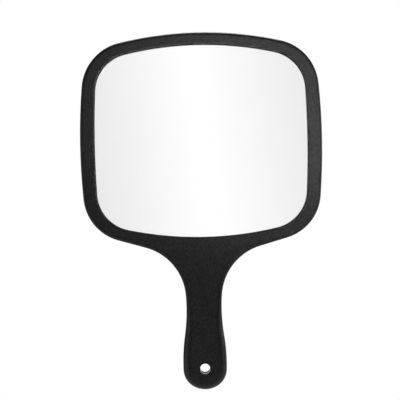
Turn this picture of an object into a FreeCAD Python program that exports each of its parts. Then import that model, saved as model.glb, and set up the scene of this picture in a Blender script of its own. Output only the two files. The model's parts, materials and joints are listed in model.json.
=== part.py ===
"""A salon hand mirror: a wide rounded head on a slim handle with a hanging hole.

Two moulded shells, screwed together from the back, hold a silvered glass against the lip of
the window. X is to the right as a user sees the glass, Z is up from the handle to the head and
Y is through the thickness, with the glass facing -Y. The origin is on the hanging hole's axis,
half way through the thickness, so heights are measured from the hanging hole. Millimetres.
"""

import FreeCAD, Part
import math
import os
from collections import namedtuple

import Sketcher
from FreeCAD import Vector

DOC = FreeCAD.newDocument("hand_mirror")
SHEET = DOC.addObject("Spreadsheet::Sheet", "Sizes")

SIZES = (
    # Outline of the shells, from the top of the head down to the end of the handle.
    ("head_top", 247.5),
    ("top_radius", 262.0),
    ("upper_corner_radius", 36.3),
    ("head_half_width", 89.1),
    ("side_radius", 472.0),
    ("side_height", 166.9),
    ("lower_corner_radius", 34.9),
    ("shoulder_angle", 16.0),
    ("shoulder_height", 77.4),
    ("flare_radius", 39.9),
    ("waist_half_width", 12.95),
    ("waist_height", 44.4),
    ("waist_radius", 131.0),
    ("grip_half_width", 16.1),
    ("grip_radius", 138.0),
    ("heel_radius", 14.5),
    ("end_radius", 17.5),
    ("end_depth", 15.9),
    # Outline of the window that the glass is seen through.
    ("window_top", 238.95),
    ("window_top_radius", 250.0),
    ("window_upper_corner_radius", 29.0),
    ("window_half_width", 78.9),
    ("window_side_radius", 706.0),
    ("window_side_height", 168.9),
    ("window_lower_corner_radius", 28.6),
    ("window_bottom", 96.64),
    ("window_bottom_radius", 256.0),
    # Shells, through the thickness.
    ("thickness", 11.0),
    ("parting", 1.5),
    ("front_skin", 2.0),
    ("cover_skin", 2.2),
    ("wall", 2.2),
    ("tray_round", 2.2),
    ("lap_gap", 0.1),
    ("lap_width", 1.0),
    ("lap_depth", 1.5),
    ("seam_chamfer", 0.25),
    ("hook_half_width", 12.0),
    ("hook_reach", 0.8),
    ("hook_thickness", 0.6),
    ("hook_play", 0.1),
    ("rib_width", 1.6),
    ("rib_gap", 0.3),
    ("lower_rib_height", 35.5),
    ("upper_rib_height", 68.5),
    ("lower_rib_reach", 12.0),
    ("upper_rib_reach", 16.0),
    # Rounded edges.
    ("head_round", 2.5),
    ("grip_round", 6.0),
    ("back_round", 3.2),
    ("window_round", 0.6),
    # Hanging hole.
    ("hole_diameter", 7.5),
    ("hole_tube_diameter", 12.0),
    ("hole_round", 0.4),
    # Glass and what holds it.
    ("glass_overlap", 3.0),
    ("glass_thickness", 3.0),
    ("glass_play", 0.4),
    ("glass_arris", 0.3),
    ("glass_wall", 1.6),
    ("tape_thickness", 1.0),
    ("tape_width", 2.0),
    ("tape_inset", 0.6),
    ("tape_half_length", 52.0),
    ("side_tape_low", 136.5),
    ("side_tape_high", 200.5),
    ("film_thickness", 0.04),
    ("film_gap", 0.02),
    ("film_inset", 0.5),
    ("foam_inset", 1.0),
    # Screws and the bosses that they go into.
    ("shoulder_screw_across", 20.0),
    ("shoulder_screw_height", 86.0),
    ("upper_screw_height", 55.5),
    ("lower_screw_height", 21.5),
    ("screw_length", 6.0),
    ("head_diameter", 5.6),
    ("head_height", 1.9),
    ("head_crown", 0.5),
    ("core_diameter", 2.2),
    ("thread_diameter", 2.9),
    ("thread_pitch", 1.1),
    ("thread_start", 1.9),
    ("thread_turns", 3),
    ("thread_flank", 0.35),
    ("tip_length", 0.9),
    ("cross_length", 3.2),
    ("cross_width", 0.9),
    ("cross_depth", 1.1),
    ("recess_diameter", 6.4),
    ("recess_depth", 2.4),
    ("clearance_diameter", 3.2),
    ("post_diameter", 8.6),
    ("boss_diameter", 6.4),
    ("pilot_diameter", 2.94),
    ("pilot_depth", 4.6),
)

# One stretch of an outline. A straight has no radius; a hollow arc curves the other way. The
# rules are formulas of the sheet's cells, and a place that follows by tangency has none.
Stretch = namedtuple("Stretch", "across up radius hollow radius_rule across_rule up_rule")


def cell(name):
    return f"Sizes.{name}"


def value(rule):
    """What a formula of the sheet's cells comes to."""
    answer = SHEET.evalExpression(rule)
    return float(getattr(answer, "Value", answer))


def fill_sheet():
    for row, (name, size) in enumerate(SIZES, start=1):
        SHEET.set(f"A{row}", name)
        SHEET.set(f"B{row}", str(size))
        SHEET.setAlias(f"B{row}", name)
    DOC.recompute()


# ---------------------------------------------------------------- outlines


def arc_stretch(across_rule, up_rule, radius_rule, hollow=False):
    """An arc whose centre is stated by rules."""
    across = value(across_rule) if across_rule else 0.0
    return Stretch(across, value(up_rule), value(radius_rule), hollow, radius_rule, across_rule, up_rule)


def blend_between(first, second, radius_rule):
    """The arc of a stated radius that touches two larger arcs from inside, going clockwise."""
    radius = value(radius_rule)
    reach_first = first.radius - radius
    reach_second = second.radius - radius
    gap = math.hypot(second.across - first.across, second.up - first.up)
    along = (reach_first**2 - reach_second**2 + gap**2) / (2 * gap)
    aside = math.sqrt(reach_first**2 - along**2)
    step_across = (second.across - first.across) / gap
    step_up = (second.up - first.up) / gap
    middle_across = first.across + step_across * along
    middle_up = first.up + step_up * along
    across = middle_across + step_up * aside
    up = middle_up - step_across * aside
    return Stretch(across, up, radius, False, radius_rule, None, None)


def blend_to_straight(arc, straight, radius_rule, hollow):
    """The arc of a stated radius that touches an arc of its own kind and the shoulder's straight."""
    radius = value(radius_rule)
    lean = math.radians(value(cell("shoulder_angle")))
    normal = Vector(-math.sin(lean), math.cos(lean), 0)
    distance = Vector(straight.across, straight.up, 0) * normal + (-radius if hollow else radius)
    centre = Vector(arc.across, arc.up, 0)
    rise = distance - centre * normal
    run = math.sqrt((arc.radius - radius) ** 2 - rise**2)
    along = Vector(normal.y, -normal.x, 0) * (-run if hollow else run)
    middle = centre + normal * rise + along
    return Stretch(middle.x, middle.y, radius, hollow, radius_rule, None, None)


def shell_stretches(inset):
    """Right-hand half of the shells' outline, moved in by inset, from the top arc to the end arc."""

    def convex(name):
        return f"{cell(name)} - ({inset})"

    def concave(name):
        return f"{cell(name)} + ({inset})"

    top = arc_stretch(None, f"{cell('head_top')} - {cell('top_radius')}", convex("top_radius"))
    side = arc_stretch(
        f"{cell('head_half_width')} - {cell('side_radius')}", cell("side_height"), convex("side_radius")
    )
    upper_corner = blend_between(top, side, convex("upper_corner_radius"))
    shoulder_rule = f"{cell('shoulder_height')} + ({inset}) / cos({cell('shoulder_angle')} * 1 deg)"
    shoulder = Stretch(0.0, value(shoulder_rule), None, False, None, None, shoulder_rule)
    lower_corner = blend_to_straight(side, shoulder, convex("lower_corner_radius"), hollow=False)
    waist_rule = f"{cell('waist_half_width')} + {cell('waist_radius')}"
    waist = arc_stretch(waist_rule, cell("waist_height"), concave("waist_radius"), hollow=True)
    flare = blend_to_straight(waist, shoulder, concave("flare_radius"), hollow=True)
    grip_rule = f"{cell('grip_half_width')} - {cell('grip_radius')}"
    grip_radius = value(convex("grip_radius"))
    reach = waist.radius + grip_radius
    grip_up = waist.up - math.sqrt(reach**2 - (waist.across - value(grip_rule)) ** 2)
    grip = Stretch(value(grip_rule), grip_up, grip_radius, False, convex("grip_radius"), grip_rule, None)
    end = arc_stretch(None, f"{cell('end_radius')} - {cell('end_depth')}", convex("end_radius"))
    heel = blend_between(grip, end, convex("heel_radius"))
    return [top, upper_corner, side, lower_corner, shoulder, flare, waist, grip, heel, end]


def window_stretches(outset):
    """Right-hand half of the window's outline, moved out by outset, from the top arc to the bottom arc."""

    def convex(name):
        return f"{cell(name)} + ({outset})"

    top = arc_stretch(
        None, f"{cell('window_top')} - {cell('window_top_radius')}", convex("window_top_radius")
    )
    side = arc_stretch(
        f"{cell('window_half_width')} - {cell('window_side_radius')}",
        cell("window_side_height"),
        convex("window_side_radius"),
    )
    bottom = arc_stretch(
        None, f"{cell('window_bottom')} + {cell('window_bottom_radius')}", convex("window_bottom_radius")
    )
    upper_corner = blend_between(top, side, convex("window_upper_corner_radius"))
    lower_corner = blend_between(side, bottom, convex("window_lower_corner_radius"))
    return [top, upper_corner, side, lower_corner, bottom]


def mirrored(stretch):
    return stretch._replace(across=-stretch.across)


def meeting_point(first, second, side):
    """Where two neighbouring stretches touch. side is 1 on the right and -1 on the left."""
    if first.radius is None or second.radius is None:
        straight, arc = (first, second) if first.radius is None else (second, first)
        lean = math.radians(value(cell("shoulder_angle"))) * side
        normal = Vector(-math.sin(lean), math.cos(lean), 0)
        centre = Vector(arc.across, arc.up, 0)
        return centre - normal * ((centre - Vector(straight.across, straight.up, 0)) * normal)
    here = Vector(first.across, first.up, 0)
    there = Vector(second.across, second.up, 0)
    if first.hollow != second.hollow:
        return here + (there - here).normalize() * first.radius
    if first.radius > second.radius:
        return here + (there - here).normalize() * first.radius
    return there + (here - there).normalize() * second.radius


def bind(sketch, kind, geometry, rule):
    """A dimension of the sketch that follows a rule. A negative one is turned round first."""
    size = value(rule)
    if size < 0:
        geometry = geometry[2:] + geometry[:2]
        rule = f"-({rule})"
    index = sketch.addConstraint(Sketcher.Constraint(kind, *geometry, abs(size)))
    sketch.setExpression(f"Constraints[{index}]", rule)


def turned(angle, start):
    """The angle brought to within one turn after start."""
    while angle < start:
        angle += 2 * math.pi
    return angle


def draw_arc(sketch, stretch, start, end):
    """Draws one arc, and says which of its ends the outline enters and leaves by."""
    centre = Vector(stretch.across, stretch.up, 0)
    first, last = (end, start) if stretch.hollow else (start, end)
    angle_first = math.atan2(first.y - centre.y, first.x - centre.x)
    angle_last = turned(math.atan2(last.y - centre.y, last.x - centre.x), angle_first)
    circle = Part.Circle(centre, Vector(0, 0, 1), stretch.radius)
    drawn = sketch.addGeometry(Part.ArcOfCircle(circle, angle_first, angle_last), False)
    return drawn, (2 if stretch.hollow else 1), (1 if stretch.hollow else 2)


def draw_loop(sketch, half):
    """Closes a right-hand half outline with its mirror image and ties every stretch to the sheet."""
    rightward = list(reversed(half))
    leftward = [mirrored(stretch) for stretch in half[1:-1]]
    loop = rightward + leftward
    sides = [1] * (len(rightward) - 1) + [-1] * (len(leftward) + 1)
    count = len(loop)
    joints = [meeting_point(loop[i], loop[(i + 1) % count], sides[i]) for i in range(count)]
    drawn = []
    for i, stretch in enumerate(loop):
        start, end = joints[i - 1], joints[i]
        if stretch.radius is None:
            line = sketch.addGeometry(Part.LineSegment(start, end), False)
            drawn.append((line, 1, 2))
        else:
            drawn.append(draw_arc(sketch, stretch, start, end))
    for i, (stretch, (geometry, _, leave)) in enumerate(zip(loop, drawn)):
        following, enter, _ = drawn[(i + 1) % count]
        sketch.addConstraint(Sketcher.Constraint("Tangent", geometry, leave, following, enter))
    for stretch, (geometry, _, _) in zip(loop, drawn):
        hold_stretch(sketch, stretch, geometry)


def hold_stretch(sketch, stretch, geometry):
    """Radius and centre of an arc, or lean and height of the shoulder's straight."""
    if stretch.radius is None:
        rises = sketch.Geometry[geometry].EndPoint.y > sketch.Geometry[geometry].StartPoint.y
        lean = f"{cell('shoulder_angle')} * 1 deg" if rises else f"-{cell('shoulder_angle')} * 1 deg"
        angle = math.radians(value(cell("shoulder_angle"))) * (1 if rises else -1)
        index = sketch.addConstraint(Sketcher.Constraint("Angle", geometry, angle))
        sketch.setExpression(f"Constraints[{index}]", lean)
        bind(
            sketch,
            "Distance",
            (-1, 1, geometry),
            f"({stretch.up_rule}) * cos({cell('shoulder_angle')} * 1 deg)",
        )
        return
    bind(sketch, "Radius", (geometry,), stretch.radius_rule)
    if stretch.across_rule is None and stretch.up_rule is not None:
        sketch.addConstraint(Sketcher.Constraint("PointOnObject", geometry, 3, -2))
    if stretch.across_rule is not None:
        same_side = stretch.across * value(stretch.across_rule) > 0
        across = stretch.across_rule if same_side else f"-({stretch.across_rule})"
        bind(sketch, "DistanceX", (-1, 1, geometry, 3), across)
    if stretch.up_rule is not None:
        bind(sketch, "DistanceY", (-1, 1, geometry, 3), stretch.up_rule)


# ---------------------------------------------------------------- bodies, sketches and features


def new_body(name):
    body = DOC.addObject("PartDesign::Body", name)
    body.Label = name
    return body


def sketch_on(body, name, depth):
    """A sketch facing -Y, with the row's X across and Z up, at the depth in Y that the rule gives."""
    sketch = body.newObject("Sketcher::SketchObject", name)
    plane = next(f for f in body.Origin.OriginFeatures if f.Role == "XZ_Plane")
    sketch.AttachmentSupport = [(plane, "")]
    sketch.MapMode = "FlatFace"
    sketch.setExpression("AttachmentOffset.Base.z", f"-({depth})")
    return sketch


def extrude(body, kind, name, sketch, length, backward=False):
    """A Pad, or a Pocket, along -Y from the sketch, or along +Y if backward."""
    feature = body.newObject(f"PartDesign::{kind}", name)
    feature.Profile = sketch
    feature.setExpression("Length", length)
    into_front = not backward
    feature.Reversed = into_front if kind == "Pocket" else not into_front
    sketch.Visibility = False
    return feature


def shell_layer(body, kind, name, depth, length, insets, backward=False):
    """A layer with the shells' outline, or a ring between two insets of it."""
    sketch = sketch_on(body, f"{name}_outline", depth)
    for inset in insets:
        draw_loop(sketch, shell_stretches(inset))
    return extrude(body, kind, name, sketch, length, backward)


def window_layer(body, kind, name, depth, length, outsets, backward=False):
    """A layer with the window's outline moved out, or a ring between two such outlines."""
    sketch = sketch_on(body, f"{name}_outline", depth)
    for outset in outsets:
        draw_loop(sketch, window_stretches(outset))
    return extrude(body, kind, name, sketch, length, backward)


def boss(body, name, depth, length, places, diameter, backward=False):
    """Round bosses at the places, each a pair of rules for X and Z."""
    return extrude(body, "Pad", name, circle_sketch(body, name, depth, places, diameter), length, backward)


def bore(body, name, depth, length, places, diameter, backward=False):
    """Round holes at the places, each a pair of rules for X and Z."""
    return extrude(body, "Pocket", name, circle_sketch(body, name, depth, places, diameter), length, backward)


def circle_sketch(body, name, depth, places, diameter):
    sketch = sketch_on(body, f"{name}_circles", depth)
    for across, up in places:
        add_circle(sketch, across, up, diameter)
    return sketch


def add_circle(sketch, across, up, diameter):
    centre = Vector(value(across), value(up), 0)
    circle = sketch.addGeometry(Part.Circle(centre, Vector(0, 0, 1), value(diameter) / 2), False)
    bind(sketch, "Diameter", (circle,), diameter)
    for kind, axis, rule, size in (("DistanceX", -2, across, centre.x), ("DistanceY", -1, up, centre.y)):
        if size == 0:
            sketch.addConstraint(Sketcher.Constraint("PointOnObject", circle, 3, axis))
        else:
            bind(sketch, kind, (-1, 1, circle, 3), rule)


def add_box(sketch, left, right, bottom, top):
    """A rectangle between four rules."""
    low = Vector(value(left), value(bottom), 0)
    high = Vector(value(right), value(top), 0)
    corners = [low, Vector(high.x, low.y, 0), high, Vector(low.x, high.y, 0)]
    lines = [
        sketch.addGeometry(Part.LineSegment(corners[i], corners[(i + 1) % 4]), False) for i in range(4)
    ]
    for i in range(4):
        sketch.addConstraint(Sketcher.Constraint("Coincident", lines[i], 2, lines[(i + 1) % 4], 1))
        sketch.addConstraint(Sketcher.Constraint("Horizontal" if i % 2 == 0 else "Vertical", lines[i]))
    bind(sketch, "DistanceX", (-1, 1, lines[0], 1), left)
    bind(sketch, "DistanceY", (-1, 1, lines[0], 1), bottom)
    bind(sketch, "DistanceX", (-1, 1, lines[2], 1), right)
    bind(sketch, "DistanceY", (-1, 1, lines[2], 1), top)


def box_layer(body, kind, name, depth, length, boxes, backward=False):
    sketch = sketch_on(body, f"{name}_boxes", depth)
    for box in boxes:
        add_box(sketch, *box)
    return extrude(body, kind, name, sketch, length, backward)


def dress(body, kind, name, depths, keep, size):
    """A Fillet or a Chamfer on the edges of the body's last feature at the depths that keep() accepts."""
    DOC.recompute()
    base = body.Tip
    edges = [edge for depth in depths for edge in edges_at_depth(body.Shape, value(depth), keep)]
    feature = body.newObject(f"PartDesign::{kind}", name)
    feature.Base = (base, edges)
    feature.setExpression("Radius" if kind == "Fillet" else "Size", size)
    DOC.recompute()
    return feature


def edges_at_depth(shape, depth, keep):
    """Names of the edges that lie wholly at one depth in Y and that keep() accepts."""
    names = []
    for index, edge in enumerate(shape.Edges, start=1):
        box = edge.BoundBox
        if abs(box.YMin - depth) < 1e-4 and abs(box.YMax - depth) < 1e-4 and keep(edge):
            names.append(f"Edge{index}")
    return names


def on_outline(inset_rule, outline):
    """A test for edges that lie on an outline moved in or out by a rule."""
    half = outline(inset_rule)
    arcs = [Vector(s.across * side, s.up, s.radius) for s in half if s.radius for side in (1, -1)]
    lean = math.radians(value(cell("shoulder_angle")))
    straights = [s for s in half if s.radius is None]

    def keep(edge):
        middle = edge.valueAt((edge.FirstParameter + edge.LastParameter) / 2)
        if edge.Curve.TypeId == "Part::GeomCircle":
            centre = edge.Curve.Center
            return any(
                math.hypot(centre.x - a.x, centre.z - a.y) < 1e-3 and abs(edge.Curve.Radius - a.z) < 1e-3
                for a in arcs
            )
        return any(abs(middle.z - s.up - abs(middle.x) * math.tan(lean)) < 1e-3 for s in straights)

    return keep


# ---------------------------------------------------------------- rules shared by several pieces

FRONT = f"-{cell('thickness')} / 2"
BACK = f"{cell('thickness')} / 2"
PARTING = cell("parting")
LIP_BACK = f"{FRONT} + {cell('front_skin')}"
COVER_INSIDE = f"{BACK} - {cell('cover_skin')}"
GLASS_FRONT = f"{LIP_BACK} + {cell('tape_thickness')}"
GLASS_BACK = f"{GLASS_FRONT} + {cell('glass_thickness')}"
SILVER_FRONT = f"{GLASS_BACK} + {cell('film_gap')}"
PAINT_FRONT = f"{SILVER_FRONT} + {cell('film_thickness')} + {cell('film_gap')}"
FOAM_FRONT = f"{PAINT_FRONT} + {cell('film_thickness')} + {cell('film_gap')}"
RECESS_FLOOR = f"{BACK} - {cell('recess_depth')}"
REBATE = f"{cell('glass_overlap')} + {cell('glass_play')}"
LAP_OUTSIDE = f"{cell('wall')} + {cell('lap_gap')}"
LAP_INSIDE = f"{LAP_OUTSIDE} + {cell('lap_width')}"
HOLE_PLACE = [("0", "0")]
# Place of each screw, and how far its cross happened to be turned when it was driven home.
SCREWS = {
    "shoulder_screw_left": (f"-{cell('shoulder_screw_across')}", cell("shoulder_screw_height"), 21),
    "shoulder_screw_right": (cell("shoulder_screw_across"), cell("shoulder_screw_height"), 74),
    "grip_screw_upper": ("0", cell("upper_screw_height"), 38),
    "grip_screw_lower": ("0", cell("lower_screw_height"), 9),
}
SCREW_PLACES = [(across, up) for across, up, _ in SCREWS.values()]
LAP_END = f"{PARTING} - {cell('lap_depth')}"
HOOK_FRONT = f"{LAP_END} + {cell('hook_play')}"


def rib_boxes():
    """Cross ribs of the handle, whose ends are in its walls: left, right, bottom and top of each."""
    boxes = []
    for rib in ("lower_rib", "upper_rib"):
        bottom = f"{cell(rib + '_height')} - {cell('rib_width')} / 2"
        top = f"{cell(rib + '_height')} + {cell('rib_width')} / 2"
        boxes.append((f"-{cell(rib + '_reach')}", cell(f"{rib}_reach"), bottom, top))
    return boxes


# ---------------------------------------------------------------- the pieces


def hook_box(play):
    """Left, right, bottom and top of the hook under the top rim, or of its slot with some play."""
    half = f"{cell('hook_half_width')} + {play}"
    root = f"{cell('head_top')} - ({LAP_OUTSIDE}) - {cell('lap_width')} / 2"
    reach = f"{cell('head_top')} - {cell('wall')} + {cell('hook_reach')} + {play}"
    return f"-({half})", half, root, reach


def make_front_frame():
    """Bezel and front half of the handle: a tray with a wall round the glass, bosses and ribs."""
    body = new_body("front_frame_blank")
    depth = f"{PARTING} - ({FRONT})"
    hollow = f"{depth} - {cell('front_skin')}"
    shell_layer(body, "Pad", "front_slab", PARTING, depth, ["0"])
    shell_layer(body, "Pocket", "front_tray", PARTING, hollow, [cell("wall")])
    inner = on_outline(cell("wall"), shell_stretches)
    dress(body, "Fillet", "tray_corner", [LIP_BACK], inner, cell("tray_round"))
    island = [f"{REBATE} + {cell('glass_wall')}"]
    window_layer(body, "Pad", "glass_wall_block", f"{PARTING} - {cell('rib_gap')}", hollow, island)
    window_layer(body, "Pocket", "glass_rebate", PARTING, hollow, [REBATE])
    window_layer(body, "Pocket", "window_opening", PARTING, f"{depth} + 1", ["0"])
    slot_back = f"{HOOK_FRONT} + {cell('hook_thickness')} + {cell('hook_play')}"
    slot_depth = f"{cell('hook_thickness')} + 2 * {cell('hook_play')}"
    box_layer(body, "Pocket", "hook_slot", slot_back, slot_depth, [hook_box(cell("hook_play"))])
    rib_height = f"{hollow} - {cell('lap_depth')} - {cell('rib_gap')}"
    rib_top = f"{LAP_END} - {cell('rib_gap')}"
    box_layer(body, "Pad", "cross_ribs", rib_top, rib_height, rib_boxes())
    boss(body, "screw_bosses", PARTING, hollow, SCREW_PLACES, cell("boss_diameter"))
    boss(body, "hole_tube", PARTING, hollow, HOLE_PLACE, cell("hole_tube_diameter"))
    bore(body, "pilot_holes", PARTING, cell("pilot_depth"), SCREW_PLACES, cell("pilot_diameter"))
    bore(body, "hanging_hole", PARTING, f"{depth} + 1", HOLE_PLACE, cell("hole_diameter"))
    window = on_outline("0", window_stretches)
    rim = on_outline("0", shell_stretches)
    dress(body, "Fillet", "window_edge", [FRONT], window, cell("window_round"))
    dress(body, "Fillet", "hole_mouth", [FRONT], is_hole_edge, cell("hole_round"))
    dress(body, "Chamfer", "seam_edge", [PARTING], rim, cell("seam_chamfer"))
    return round_front(body)


def is_hole_edge(edge):
    radius = value(cell("hole_diameter")) / 2
    return edge.Curve.TypeId == "Part::GeomCircle" and abs(edge.Curve.Radius - radius) < 1e-4


def round_front(body):
    """Rounds the front edge: a small radius round the head, growing down the flare to the grip's."""
    rounded = DOC.addObject("Part::Fillet", "front_frame")
    rounded.Label = "front_frame"
    rounded.Base = body
    small = value(cell("head_round"))
    large = value(cell("grip_round"))
    flare = shell_stretches("0")[5]
    waist = shell_stretches("0")[6]
    low = meeting_point(flare, waist, 1).y
    high = meeting_point(shell_stretches("0")[4], flare, 1).y
    names = edges_at_depth(body.Shape, value(FRONT), on_outline("0", shell_stretches))
    edges = []
    for name in names:
        edge = body.Shape.getElement(name)
        radii = []
        for vertex in (edge.firstVertex(), edge.lastVertex()):
            share = min(max((high - vertex.Z) / (high - low), 0.0), 1.0)
            radii.append(small + (large - small) * share)
        edges.append((int(name[4:]), radii[0], radii[1]))
    rounded.Edges = edges
    DOC.recompute()
    return rounded


def make_rear_cover():
    """Back shell: a shallow tray whose lap goes inside the front frame, with screw posts."""
    body = new_body("rear_cover")
    depth = f"{BACK} - {PARTING}"
    hollow = f"{depth} - {cell('cover_skin')}"
    shell_layer(body, "Pad", "cover_slab", PARTING, depth, ["0"], backward=True)
    shell_layer(body, "Pocket", "cover_tray", PARTING, hollow, [LAP_INSIDE], backward=True)
    shell_layer(body, "Pad", "cover_lap", PARTING, cell("lap_depth"), [LAP_OUTSIDE, LAP_INSIDE])
    box_layer(body, "Pad", "top_hook", HOOK_FRONT, cell("hook_thickness"), [hook_box("0")], backward=True)
    through = f"{depth} + 1"
    boss(body, "screw_posts", PARTING, hollow, SCREW_PLACES, cell("post_diameter"), backward=True)
    boss(body, "hole_ring", PARTING, hollow, HOLE_PLACE, cell("hole_tube_diameter"), backward=True)
    bore(body, "screw_clearance", PARTING, through, SCREW_PLACES, cell("clearance_diameter"), True)
    bore(body, "screw_recess", RECESS_FLOOR, depth, SCREW_PLACES, cell("recess_diameter"), True)
    bore(body, "hanging_hole", PARTING, through, HOLE_PLACE, cell("hole_diameter"), True)
    rim = on_outline("0", shell_stretches)
    dress(body, "Fillet", "hole_mouth", [BACK], is_hole_edge, cell("hole_round"))
    dress(body, "Fillet", "back_edge", [BACK], rim, cell("back_round"))
    dress(body, "Chamfer", "seam_edge", [PARTING], rim, cell("seam_chamfer"))
    return body


def make_glass():
    """Flat float glass, held by its edge behind the lip, with ground arrises."""
    body = new_body("mirror_glass")
    outline = [cell("glass_overlap")]
    window_layer(body, "Pad", "glass_sheet", GLASS_BACK, cell("glass_thickness"), outline)
    edge = on_outline(cell("glass_overlap"), window_stretches)
    dress(body, "Chamfer", "ground_edges", [GLASS_FRONT, GLASS_BACK], edge, cell("glass_arris"))
    return body


def make_film(name, front):
    """A thin coating behind the glass."""
    body = new_body(name)
    outline = [f"{cell('glass_overlap')} - {cell('film_inset')}"]
    window_layer(body, "Pad", f"{name}_sheet", front, cell("film_thickness"), outline, backward=True)
    return body


def make_foam():
    """Soft sheet between the coated glass and the cover."""
    body = new_body("foam_cushion")
    outline = [f"{cell('glass_overlap')} - {cell('foam_inset')}"]
    window_layer(
        body, "Pad", "foam_sheet", FOAM_FRONT, f"{COVER_INSIDE} - ({FOAM_FRONT})", outline, backward=True
    )
    return body


# Which stretch of the window each tape follows, whether it runs level, and the side that the
# stretch is on, seen from its centre.
TAPES = {
    "bezel_tape_top": (0, True, 1),
    "bezel_tape_right": (2, False, 1),
    "bezel_tape_left": (2, False, -1),
    "bezel_tape_bottom": (4, True, -1),
}


def make_tape(name):
    """A tape strip between the lip and the glass, cut off square a little short of the corners."""
    index, level, side = TAPES[name]
    near = window_stretches(cell("tape_inset"))[index]
    far = window_stretches(f"{cell('tape_inset')} + {cell('tape_width')}")[index]
    if not level and side < 0:
        near, far = mirrored(near), mirrored(far)
    body = new_body(name)
    sketch = sketch_on(body, f"{name}_band", LIP_BACK)
    if level:
        ends = [f"-{cell('tape_half_length')}", cell("tape_half_length")]
    else:
        ends = [cell("side_tape_low"), cell("side_tape_high")]
    inner = draw_band_edge(sketch, near, ends, level, side)
    outer = draw_band_edge(sketch, far, ends, level, side)
    for place, rule in enumerate(ends):
        start, end = inner[1][place], outer[1][place]
        points = [sketch.getPoint(inner[0], start), sketch.getPoint(outer[0], end)]
        line = sketch.addGeometry(Part.LineSegment(*points), False)
        sketch.addConstraint(Sketcher.Constraint("Coincident", line, 1, inner[0], start))
        sketch.addConstraint(Sketcher.Constraint("Coincident", line, 2, outer[0], end))
        sketch.addConstraint(Sketcher.Constraint("Vertical" if level else "Horizontal", line))
        bind(sketch, "DistanceX" if level else "DistanceY", (-1, 1, inner[0], start), rule)
    hold_stretch(sketch, near, inner[0])
    hold_stretch(sketch, far, outer[0])
    extrude(body, "Pad", f"{name}_strip", sketch, cell("tape_thickness"), backward=True)
    return body


def draw_band_edge(sketch, stretch, ends, level, side):
    """One long edge of a band, and which of the arc's ends is at each of the two rules."""
    angles = []
    for rule in ends:
        along = value(rule) - (stretch.across if level else stretch.up)
        aside = side * math.sqrt(stretch.radius**2 - along**2)
        angles.append(math.atan2(aside, along) if level else math.atan2(along, aside) % (2 * math.pi))
    if not level and side > 0:
        angles = [math.remainder(angle, 2 * math.pi) for angle in angles]
    circle = Part.Circle(Vector(stretch.across, stretch.up, 0), Vector(0, 0, 1), stretch.radius)
    arc = sketch.addGeometry(Part.ArcOfCircle(circle, min(angles), max(angles)), False)
    return arc, ((1, 2) if angles[0] < angles[1] else (2, 1))


# ---------------------------------------------------------------- screws


def make_screw(name):
    """A pan head self-tapping screw, drawn along Y about its own seat and then put in its recess."""
    body = new_body(name)
    profile = sketch_along(body, "screw_profile")
    draw_screw_profile(profile)
    revolve(body, "screw_blank", profile)
    ridge = sketch_along(body, "thread_profile")
    draw_thread_profile(ridge)
    turn = revolve(body, "thread_ridge", ridge)
    DOC.recompute()
    thread = body.newObject("PartDesign::LinearPattern", "thread")
    thread.Originals = [turn]
    thread.Direction = (ridge, ["V_Axis"])
    thread.Reversed = True
    thread.setExpression("Occurrences", cell("thread_turns"))
    thread.setExpression("Length", f"{cell('thread_pitch')} * ({cell('thread_turns')} - 1)")
    body.Tip = thread
    DOC.recompute()
    long_half = f"{cell('cross_length')} / 2"
    short_half = f"{cell('cross_width')} / 2"
    for slot, (half_across, half_up) in enumerate(((long_half, short_half), (short_half, long_half))):
        box = (f"-{half_across}", half_across, f"-{half_up}", half_up)
        box_layer(body, "Pocket", f"cross_slot_{slot}", cell("head_height"), cell("cross_depth"), [box])
    across, up, turned_by = SCREWS[name]
    body.Placement = FreeCAD.Placement(Vector(), FreeCAD.Rotation(Vector(0, 1, 0), turned_by))
    body.setExpression("Placement.Base.x", across)
    body.setExpression("Placement.Base.y", RECESS_FLOOR)
    body.setExpression("Placement.Base.z", up)
    return body


def sketch_along(body, name):
    """A sketch in the body's XY plane, for a profile turned about the Y axis."""
    sketch = body.newObject("Sketcher::SketchObject", name)
    plane = next(f for f in body.Origin.OriginFeatures if f.Role == "XY_Plane")
    sketch.AttachmentSupport = [(plane, "")]
    sketch.MapMode = "FlatFace"
    return sketch


def revolve(body, name, sketch):
    feature = body.newObject("PartDesign::Revolution", name)
    feature.Profile = sketch
    feature.ReferenceAxis = (sketch, ["V_Axis"])
    feature.Angle = 360
    sketch.Visibility = False
    return feature


def draw_polygon(sketch, corners):
    """Straight lines between corners, each a pair of rules. Returns the lines."""
    points = [Vector(value(across), value(along), 0) for across, along in corners]
    lines = [
        sketch.addGeometry(Part.LineSegment(points[i], points[i + 1]), False) for i in range(len(points) - 1)
    ]
    for before, after in zip(lines, lines[1:]):
        sketch.addConstraint(Sketcher.Constraint("Coincident", before, 2, after, 1))
    places = [(line, 1) for line in lines] + [(lines[-1], 2)]
    for (line, end), (across, along), point in zip(places, corners, points):
        for kind, axis, rule, size in (("DistanceX", -2, across, point.x), ("DistanceY", -1, along, point.y)):
            if size == 0:
                sketch.addConstraint(Sketcher.Constraint("PointOnObject", line, end, axis))
            else:
                bind(sketch, kind, (-1, 1, line, end), rule)
    return lines


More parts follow.
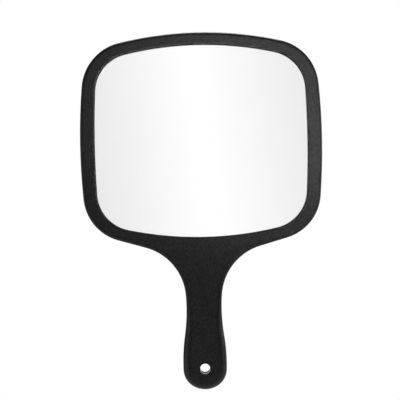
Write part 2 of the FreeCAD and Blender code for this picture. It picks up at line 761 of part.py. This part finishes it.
def draw_screw_profile(sketch):
    """Half section: tip, core, underside and rim of the head, and the crown as an arc."""
    core = f"{cell('core_diameter')} / 2"
    rim = f"{cell('head_diameter')} / 2"
    shoulder = f"{cell('head_height')} - {cell('head_crown')}"
    corners = [
        ("0", cell("head_height")),
        ("0", f"-{cell('screw_length')}"),
        (core, f"-{cell('screw_length')} + {cell('tip_length')}"),
        (core, "0"),
        (rim, "0"),
        (rim, shoulder),
    ]
    lines = draw_polygon(sketch, corners)
    crown = value(cell("head_crown"))
    reach = value(rim)
    radius = (reach**2 + crown**2) / (2 * crown)
    centre = Vector(0, value(cell("head_height")) - radius, 0)
    start = math.atan2(value(shoulder) - centre.y, reach)
    circle = Part.Circle(centre, Vector(0, 0, 1), radius)
    arc = sketch.addGeometry(Part.ArcOfCircle(circle, start, math.pi / 2), False)
    sketch.addConstraint(Sketcher.Constraint("Coincident", arc, 1, lines[-1], 2))
    sketch.addConstraint(Sketcher.Constraint("Coincident", arc, 2, lines[0], 1))
    sketch.addConstraint(Sketcher.Constraint("PointOnObject", arc, 3, -2))


def draw_thread_profile(sketch):
    """Section of one thread ridge, a little inside the core so that the two join."""
    root = f"{cell('core_diameter')} / 2 - 0.1"
    crest = f"{cell('thread_diameter')} / 2"
    upper = f"-{cell('thread_start')} + {cell('thread_flank')}"
    lower = f"-{cell('thread_start')} - {cell('thread_flank')}"
    corners = [(root, upper), (root, lower), (crest, f"-{cell('thread_start')}"), (root, upper)]
    lines = [
        sketch.addGeometry(
            Part.LineSegment(
                Vector(value(corners[i][0]), value(corners[i][1]), 0),
                Vector(value(corners[i + 1][0]), value(corners[i + 1][1]), 0),
            ),
            False,
        )
        for i in range(3)
    ]
    for i in range(3):
        sketch.addConstraint(Sketcher.Constraint("Coincident", lines[i], 2, lines[(i + 1) % 3], 1))
        bind(sketch, "DistanceX", (-1, 1, lines[i], 1), corners[i][0])
        bind(sketch, "DistanceY", (-1, 1, lines[i], 1), corners[i][1])


def check_document():
    """Stops if any object of the document failed to compute."""
    failed = [o.Name for o in DOC.Objects if "Invalid" in o.State or "Error" in o.State]
    if failed:
        raise RuntimeError(f"failed objects: {failed}")


def write_pieces(pieces):
    os.makedirs("parts", exist_ok=True)
    for piece in pieces:
        if piece.Shape.isNull() or not piece.Shape.isValid():
            raise RuntimeError(f"{piece.Label} has no valid shape")
        piece.Shape.exportStep(f"parts/{piece.Label}.step")
        print(f"{piece.Label}: {piece.Shape.Volume:.1f} mm3, {len(piece.Shape.Solids)} solid")


def main():
    fill_sheet()
    pieces = [make_front_frame(), make_rear_cover(), make_glass()]
    pieces.append(make_film("mirror_silvering", SILVER_FRONT))
    pieces.append(make_film("mirror_backing_paint", PAINT_FRONT))
    pieces.append(make_foam())
    pieces += [make_tape(name) for name in TAPES]
    pieces += [make_screw(name) for name in SCREWS]
    DOC.recompute()
    check_document()
    write_pieces(pieces)


main()
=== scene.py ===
"""Looks, light and camera for the salon hand mirror.

The CAD pieces are the object, and all of them stay: each gets a procedural material. X is to
the right as a user sees the glass, Z is up from the handle to the head, the glass faces -Y,
and the origin is on the hanging hole's axis. Lengths are in metres and powers in watts.
"""

import json
import math
from collections import namedtuple

import bpy
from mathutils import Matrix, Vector


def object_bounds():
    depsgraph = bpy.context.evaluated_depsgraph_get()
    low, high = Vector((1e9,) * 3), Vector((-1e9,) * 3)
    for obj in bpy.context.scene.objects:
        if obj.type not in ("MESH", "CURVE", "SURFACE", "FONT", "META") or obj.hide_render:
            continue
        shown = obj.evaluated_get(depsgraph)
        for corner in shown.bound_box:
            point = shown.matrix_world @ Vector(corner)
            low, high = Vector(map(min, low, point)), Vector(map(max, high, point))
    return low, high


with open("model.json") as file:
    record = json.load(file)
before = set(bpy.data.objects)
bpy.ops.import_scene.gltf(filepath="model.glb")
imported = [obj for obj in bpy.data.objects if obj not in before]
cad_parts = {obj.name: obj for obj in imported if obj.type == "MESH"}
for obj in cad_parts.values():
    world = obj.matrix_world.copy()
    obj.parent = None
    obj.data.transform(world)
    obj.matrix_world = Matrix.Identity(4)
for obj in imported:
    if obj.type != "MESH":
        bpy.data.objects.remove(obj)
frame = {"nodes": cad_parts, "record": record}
nodes = frame["nodes"]
record = frame["record"]
cad_low, cad_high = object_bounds()
MM = 0.001

# ---------------------------------------------------------------- the view

# The picture's middle is this share of the way up the object and this far to the right of its
# middle, and the picture is this many times as wide as the object.
AIM_SHARE = 0.5311
AIM_ACROSS = -0.0016
PICTURE_WIDTHS = 1.6468
DISTANCE = 0.80
ROLL = math.radians(1.03)
SENSOR_WIDTH = 36.0
CLIP_START = 0.01
CLIP_END = 50.0


def make_camera():
    """Looks straight at the glass from a little under a metre, with the picture's slight lean."""
    width = (cad_high.x - cad_low.x) * PICTURE_WIDTHS
    height = cad_low.z + (cad_high.z - cad_low.z) * AIM_SHARE
    data = bpy.data.cameras.new("camera")
    data.sensor_width = SENSOR_WIDTH
    data.lens = SENSOR_WIDTH * DISTANCE / width
    data.clip_start = CLIP_START
    data.clip_end = CLIP_END
    camera = bpy.data.objects.new("camera", data)
    camera.location = (AIM_ACROSS, cad_low.y - DISTANCE, height)
    camera.rotation_euler = (math.radians(90), ROLL, 0)
    bpy.context.scene.collection.objects.link(camera)
    bpy.context.scene.camera = camera


# ---------------------------------------------------------------- node helpers


class Recipe:
    """A small builder for the nodes of a material or of the world, which is its owner."""

    def __init__(self, owner):
        self.owner = owner
        self.owner.use_nodes = True
        self.tree = owner.node_tree
        self.tree.nodes.clear()
        self.coordinates = self.add("ShaderNodeTexCoord").outputs
        self.place = self.coordinates["Object"]

    def add(self, kind, **settings):
        node = self.tree.nodes.new(kind)
        for key, setting in settings.items():
            setattr(node, key, setting)
        return node

    def feed(self, socket, source):
        """Links an output to the socket, or sets the socket to a plain value."""
        if hasattr(source, "is_output"):
            self.tree.links.new(source, socket)
        else:
            socket.default_value = source

    def add_fed(self, kind, **sockets):
        """The first output of a new node with these inputs. An underscore stands for a space."""
        node = self.add(kind)
        for key, source in sockets.items():
            self.feed(node.inputs[key.replace("_", " ")], source)
        return node.outputs[0]

    def noise(self, size, detail=2.0, roughness=0.5, offset=(0, 0, 0)):
        """Noise whose features are about size metres across, from 0 to 1."""
        moved = self.add_fed("ShaderNodeMapping", Vector=self.place, Location=offset)
        return self.add_fed(
            "ShaderNodeTexNoise", Vector=moved, Scale=1 / size, Detail=detail, Roughness=roughness
        )

    def cells(self, size):
        """Voronoi cells about size metres apart: distance to the point, and each cell's own colour."""
        node = self.add("ShaderNodeTexVoronoi", feature="F1")
        self.feed(node.inputs["Vector"], self.place)
        self.feed(node.inputs["Scale"], 1 / size)
        return node.outputs["Distance"], node.outputs["Color"]

    def axes(self, place):
        """The parts of a place along X, Y and Z."""
        node = self.add("ShaderNodeSeparateXYZ")
        self.feed(node.inputs[0], place)
        return node.outputs

    def ramp(self, source, taken, given=(0.0, 1.0)):
        """Maps one span of the source onto another, smoothly and without going past its ends."""
        node = self.add("ShaderNodeMapRange", interpolation_type="SMOOTHSTEP")
        self.feed(node.inputs["Value"], source)
        for socket, level in zip(("From Min", "From Max", "To Min", "To Max"), (*taken, *given)):
            self.feed(node.inputs[socket], level)
        return node.outputs["Result"]

    def maths(self, operation, *terms):
        node = self.add("ShaderNodeMath", operation=operation)
        for socket, term in zip(node.inputs, terms):
            self.feed(socket, term)
        return node.outputs[0]

    def mix_colour(self, share, first, second):
        node = self.add("ShaderNodeMix", data_type="RGBA")
        colours = [socket for socket in node.inputs if socket.type == "RGBA"]
        self.feed(node.inputs["Factor"], share)
        self.feed(colours[0], first)
        self.feed(colours[1], second)
        return [socket for socket in node.outputs if socket.type == "RGBA"][0]

    def bump(self, height, depth, before=None):
        """A bump of depth metres where the height goes from 0 to 1, on top of the one before."""
        sockets = {"Strength": 1.0, "Distance": depth, "Height": height}
        if before is not None:
            sockets["Normal"] = before
        return self.add_fed("ShaderNodeBump", **sockets)

    def end_in(self, shader, output="ShaderNodeOutputMaterial"):
        """Makes this shader the surface, and gives back the owner."""
        self.feed(self.add(output).inputs["Surface"], shader)
        return self.owner

    def finish(self, **sockets):
        """Ends the material in a Principled shader with these inputs."""
        return self.end_in(self.add_fed("ShaderNodeBsdfPrincipled", **sockets))


def material_recipe(name):
    return Recipe(bpy.data.materials.new(name))


def grey(level):
    return (level, level, level, 1.0)


# ---------------------------------------------------------------- materials

# A polished pin moulds the front stretch of the hanging hole's wall. What it polishes ends within
# these spans of the radius and of the depth.
HOLE = next(mount for mount in record["mounts"] if mount["name"] == "hanging_hole")
HOLE_RADIUS = HOLE["dims"]["r_mm"] * MM
PIN_SIDE = (HOLE_RADIUS + 0.04 * MM, HOLE_RADIUS + 0.08 * MM)
PIN_END = (-2.05 * MM, -1.95 * MM)


def pin_share(recipe):
    """1 on the front stretch of the hanging hole's wall, and 0 elsewhere."""
    across, depth, up = recipe.axes(recipe.place)
    squares = (recipe.maths("MULTIPLY", part, part) for part in (across, up))
    radius = recipe.maths("SQRT", recipe.maths("ADD", *squares))
    inside = recipe.ramp(radius, PIN_SIDE, (1.0, 0.0))
    ahead = recipe.ramp(depth, PIN_END, (1.0, 0.0))
    return recipe.maths("MULTIPLY", inside, ahead)


# Dust is a fleck in the few cells whose own colour is past DUSTY_CELLS. It is thin enough for the
# plastic to show through, and its rim is at this share of a cell's width from the cell's point.
DUST_SPACING = 5.5 * MM
DUST_COLOUR = (0.30, 0.29, 0.27, 1.0)
DUST_COVER = 0.35
DUSTY_CELLS = (0.80, 0.82)
FLECK_RIM = (0.03, 0.06)
# The span of the speckle's noise that its shades are spread over.
SPECKLE_SPAN = (0.32, 0.70)


def black_plastic(name, offset, polished_hole):
    """Moulded black ABS with a fine spark-eroded grain, handling marks and a little dust."""
    recipe = material_recipe(name)
    grain = recipe.noise(0.35 * MM, detail=3.0, roughness=0.65, offset=offset)
    speckle = recipe.noise(1.2 * MM, detail=3.0, roughness=0.65, offset=offset)
    mottle = recipe.noise(14 * MM, detail=3.0, roughness=0.55, offset=offset)
    distance, cell_colour = recipe.cells(DUST_SPACING)
    fleck = recipe.ramp(distance, FLECK_RIM, (1.0, 0.0))
    dust = recipe.maths("MULTIPLY", fleck, recipe.ramp(cell_colour, DUSTY_CELLS))
    shade = recipe.ramp(speckle, SPECKLE_SPAN)
    tone = recipe.mix_colour(shade, grey(0.009), grey(0.015))
    tone = recipe.mix_colour(recipe.maths("MULTIPLY", dust, DUST_COVER), tone, DUST_COLOUR)
    gloss = recipe.ramp(mottle, (0.3, 0.7), (0.40, 0.47))
    gloss = recipe.maths("ADD", gloss, recipe.ramp(speckle, (0.25, 0.75), (0.03, -0.03)))
    sheen = recipe.ramp(speckle, SPECKLE_SPAN, (0.41, 0.61))
    if polished_hole:
        textured = recipe.maths("SUBTRACT", 1.0, pin_share(recipe))
        gloss = recipe.maths("MULTIPLY", gloss, textured)
        grain = recipe.maths("MULTIPLY", grain, textured)
        speckle = recipe.maths("MULTIPLY", speckle, textured)
    relief = recipe.bump(grain, 0.03 * MM)
    relief = recipe.bump(speckle, 0.05 * MM, relief)
    return recipe.finish(
        Base_Color=tone, Roughness=gloss, Normal=relief, IOR=1.5, Specular_IOR_Level=sheen
    )


def frame_plastic():
    return black_plastic("frame_plastic", (0, 0, 0), True)


def cover_plastic():
    return black_plastic("cover_plastic", (0.37, 0.11, 0.23), False)


def float_glass():
    """Clear glass that is very slightly wavy, with a faint cast and the haze of old wiping."""
    recipe = material_recipe("glass")
    wave = recipe.noise(28 * MM, detail=1.0)
    haze = recipe.noise(9 * MM, detail=4.0, roughness=0.7)
    tint = recipe.mix_colour(haze, (0.982, 0.984, 0.983, 1), (0.989, 0.991, 0.99, 1))
    return recipe.finish(
        Base_Color=tint,
        Roughness=0.0,
        Normal=recipe.bump(wave, 0.002 * MM),
        Transmission_Weight=1.0,
        IOR=1.52,
    )


def silvering():
    """The reflecting coat, with the faint unevenness of a wet-silvered layer."""
    recipe = material_recipe("silver")
    cloud = recipe.noise(22 * MM, detail=3.0)
    tone = recipe.mix_colour(cloud, grey(0.93), grey(0.95))
    return recipe.finish(Base_Color=tone, Metallic=1.0, Roughness=0.0)


def backing_paint():
    """Grey protective paint, curtain coated, with a light orange peel."""
    recipe = material_recipe("backing_paint")
    peel = recipe.noise(1.6 * MM, detail=1.0)
    tone = recipe.mix_colour(peel, (0.17, 0.18, 0.19, 1), (0.21, 0.22, 0.23, 1))
    return recipe.finish(Base_Color=tone, Roughness=0.45, Normal=recipe.bump(peel, 0.02 * MM))


def foam():
    """Closed-cell EVA foam: small cells with thin walls."""
    recipe = material_recipe("foam")
    distance = recipe.cells(0.6 * MM)[0]
    tone = recipe.mix_colour(recipe.ramp(distance, (0.1, 0.6)), grey(0.03), grey(0.07))
    return recipe.finish(Base_Color=tone, Roughness=0.9, Normal=recipe.bump(distance, 0.12 * MM))


def tape():
    """Black foam tape with a woven scrim under the adhesive."""
    recipe = material_recipe("tape")
    weave = recipe.noise(0.5 * MM, detail=2.0)
    tone = recipe.mix_colour(weave, grey(0.012), grey(0.03))
    return recipe.finish(Base_Color=tone, Roughness=0.75, Normal=recipe.bump(weave, 0.03 * MM))


def screw_steel():
    """Black oxide steel, rubbed brighter in patches by the driver."""
    recipe = material_recipe("screw_steel")
    rub = recipe.noise(0.9 * MM, detail=4.0, roughness=0.65)
    fine = recipe.noise(0.12 * MM, detail=2.0)
    bare = recipe.ramp(rub, (0.58, 0.74))
    tone = recipe.mix_colour(bare, (0.035, 0.035, 0.038, 1), (0.23, 0.22, 0.21, 1))
    return recipe.finish(
        Base_Color=tone,
        Metallic=0.9,
        Roughness=recipe.ramp(rub, (0.3, 0.75), (0.42, 0.30)),
        Normal=recipe.bump(fine, 0.008 * MM),
    )


SLOTS = {
    "frame_plastic": frame_plastic,
    "cover_plastic": cover_plastic,
    "glass": float_glass,
    "silver": silvering,
    "backing_paint": backing_paint,
    "foam": foam,
    "tape": tape,
    "screw_steel": screw_steel,
}


def paint_nodes():
    """Gives every CAD node the material of its slot."""
    made = {slot: make() for slot, make in SLOTS.items()}
    for subpart in record["subparts"]:
        mesh = nodes[subpart["node"]].data
        mesh.materials.clear()
        mesh.materials.append(made[subpart["material_slot"]])


# ---------------------------------------------------------------- the studio


def split_by_ray(recipe, seen, light):
    """One shader for what the camera or a clean mirror shows, another for lights and blurred sheens."""
    path = recipe.add("ShaderNodeLightPath").outputs
    shown = recipe.maths("MAXIMUM", path["Is Camera Ray"], path["Is Singular Ray"])
    mix = recipe.add("ShaderNodeMixShader")
    for socket, source in zip(mix.inputs, (shown, light, seen)):
        recipe.feed(socket, source)
    return mix.outputs[0]


def add_plane(name, across, along, place, turn, material):
    """A rectangle of the studio, facing its own +Z before the turn."""
    corners = [(across * x / 2, along * y / 2, 0) for x, y in ((-1, -1), (1, -1), (1, 1), (-1, 1))]
    mesh = bpy.data.meshes.new(name)
    mesh.from_pydata(corners, [], [(0, 1, 2, 3)])
    mesh.materials.append(material)
    plane = bpy.data.objects.new(name, mesh)
    plane.location = place
    plane.rotation_euler = turn
    bpy.context.scene.collection.objects.link(plane)
    return plane


FLOOR_DROP = 0.26
FLOOR_SIZE = 30.0
FLOOR_GREY = 0.8


def make_floor():
    """A plain white floor some way below the mirror, which is held up in the hand."""
    recipe = material_recipe("floor_white")
    matte = recipe.add_fed("ShaderNodeBsdfDiffuse", Color=grey(FLOOR_GREY))
    glow = recipe.add_fed("ShaderNodeEmission", Color=grey(1.0))
    material = recipe.end_in(split_by_ray(recipe, glow, matte))
    add_plane("floor", FLOOR_SIZE, FLOOR_SIZE, (0, 0, cad_low.z - FLOOR_DROP), (0, 0, 0), material)


# How strongly the room shines, from the lowest to the steepest rise of a ray.
ROOM_GLOW = (0.02, 0.12)
ROOM_RISE = (-0.6, 1.0)
ROOM_GREY = 0.8


def make_world():
    """White where the eye meets it. As a light it is a dim room that is brighter overhead."""
    world = bpy.data.worlds.new("studio")
    bpy.context.scene.world = world
    recipe = Recipe(world)
    ray = recipe.axes(recipe.coordinates["Generated"])
    glow = recipe.ramp(ray["Z"], ROOM_RISE, ROOM_GLOW)
    room = recipe.add_fed("ShaderNodeBackground", Color=grey(ROOM_GREY), Strength=glow)
    white = recipe.add_fed("ShaderNodeBackground", Color=grey(1.0))
    recipe.end_in(split_by_ray(recipe, white, room), "ShaderNodeOutputWorld")


# Place and size of the wall in front of the glass. Its brightness is CARD_MIDDLE along a nearly
# upright line, and falls by CARD_FADE for each metre to either side, a little less to the right.
CARD_BEHIND = 2.4
CARD_ASIDE = 0.014
CARD_RISE = 0.25
CARD_ACROSS = 0.84
CARD_TALL = 0.78
CARD_LEAN = -0.107
CARD_FADE = 0.635
CARD_LIFT = 0.035
CARD_MIDDLE = 1.114


def make_card():
    """The white wall that the glass shows: brightest in the middle."""
    recipe = material_recipe("card_white")
    across, up, _ = recipe.axes(recipe.place)
    away = recipe.maths("ABSOLUTE", recipe.maths("MULTIPLY_ADD", up, CARD_LEAN, across))
    fade = recipe.maths("MULTIPLY_ADD", away, -CARD_FADE, CARD_MIDDLE)
    strength = recipe.maths("MULTIPLY_ADD", across, CARD_LIFT, fade)
    material = recipe.end_in(recipe.add_fed("ShaderNodeEmission", Strength=strength))
    place = (CARD_ASIDE, -CARD_BEHIND, cad_low.z + CARD_RISE)
    turn = (math.radians(-90), 0, 0)
    card = add_plane("reflection_card", CARD_ACROSS, CARD_TALL, place, turn, material)
    card.visible_camera = False


Softbox = namedtuple("Softbox", "name place across tall power")

# The key is a narrow beam onto the top of the head, from low on the right.
KEY = Softbox("key", (0.475, -1.118, cad_low.z - 0.04), 0.05, 0.05, 0.062)
KEY_AIM = (0.013, 0, cad_high.z - 0.0295)
KEY_SPREAD = math.radians(13)
# The others spread all round, and are turned to a point this share of the way up the object.
HEAD_SHARE = 0.75
WIDE_SPREAD = math.radians(180)
WIDE_LIGHTS = (
    Softbox("edge_left", (-0.55, -0.12, 0.10), 0.3, 0.6, 0.40),
    Softbox("edge_right", (0.55, -0.05, 0.10), 0.3, 0.6, 0.33),
    Softbox("side_right", (0.60, 0.22, 0.28), 0.4, 0.5, 0.7),
    Softbox("back", (0.0, 0.75, 1.35), 0.8, 0.8, 16.0),
    Softbox("back_sheen", (0.7, 1.0, 0.3), 0.5, 0.5, 2.0),
)


def add_softbox(box, aim, spread):
    """A rectangular light with its face turned to the aim."""
    data = bpy.data.lights.new(box.name, "AREA")
    data.shape = "RECTANGLE"
    data.size = box.across
    data.size_y = box.tall
    data.energy = box.power
    data.spread = spread
    light = bpy.data.objects.new(box.name, data)
    light.location = box.place
    light.rotation_euler = (Vector(aim) - Vector(box.place)).to_track_quat("-Z", "Y").to_euler()
    light.visible_camera = False
    bpy.context.scene.collection.objects.link(light)


def make_lights():
    """The key, weak lights that catch the edges and the right side, and two for the back."""
    add_softbox(KEY, KEY_AIM, KEY_SPREAD)
    head = (0, 0, cad_low.z + HEAD_SHARE * (cad_high.z - cad_low.z))
    for box in WIDE_LIGHTS:
        add_softbox(box, head, WIDE_SPREAD)


make_camera()
paint_nodes()
make_world()
make_floor()
make_card()
make_lights()
bpy.context.scene.view_settings.view_transform = "Standard"
